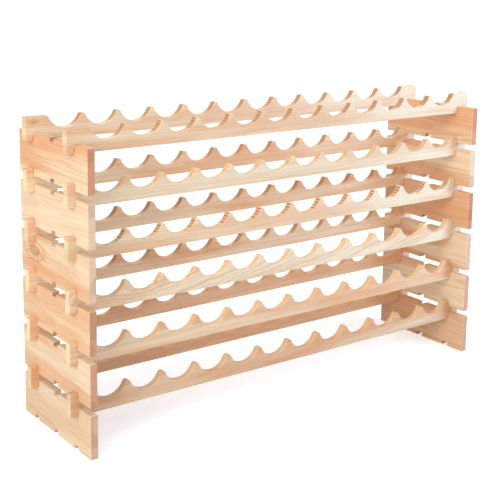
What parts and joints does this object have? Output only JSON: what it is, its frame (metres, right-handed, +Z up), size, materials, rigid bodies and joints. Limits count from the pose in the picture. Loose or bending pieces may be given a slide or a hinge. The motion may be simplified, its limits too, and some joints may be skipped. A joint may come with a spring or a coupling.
{
  "type": "wine rack",
  "caption": "Free-standing modular wine rack of plain pine: notched side boards in two stacks carry scalloped rails that cradle bottles on their side.",
  "frame": {"origin": "on the floor, at the centre of the rack's footprint", "axes": "+X along the rails to the right as seen from the front, +Y to the back, +Z up"},
  "size_m": [1.2, 0.32, 0.708],
  "materials": {
    "pine_board": "planed, unfinished pine, satin",
    "pine_rail": "planed, unfinished pine, satin"
  },
  "bodies": {
    "root": {"left_board_1": "pine_board", "right_board_1": "pine_board", "front_rail_1": "pine_rail", "rear_rail_1": "pine_rail", "left_board_2": "pine_board", "right_board_2": "pine_board", "front_rail_2": "pine_rail", "rear_rail_2": "pine_rail", "left_board_3": "pine_board", "right_board_3": "pine_board", "front_rail_3": "pine_rail", "rear_rail_3": "pine_rail", "left_board_4": "pine_board", "right_board_4": "pine_board", "front_rail_4": "pine_rail", "rear_rail_4": "pine_rail", "left_board_5": "pine_board", "right_board_5": "pine_board", "front_rail_5": "pine_rail", "rear_rail_5": "pine_rail", "left_board_6": "pine_board", "right_board_6": "pine_board", "front_rail_6": "pine_rail", "rear_rail_6": "pine_rail"}
  },
  "joints": []
}
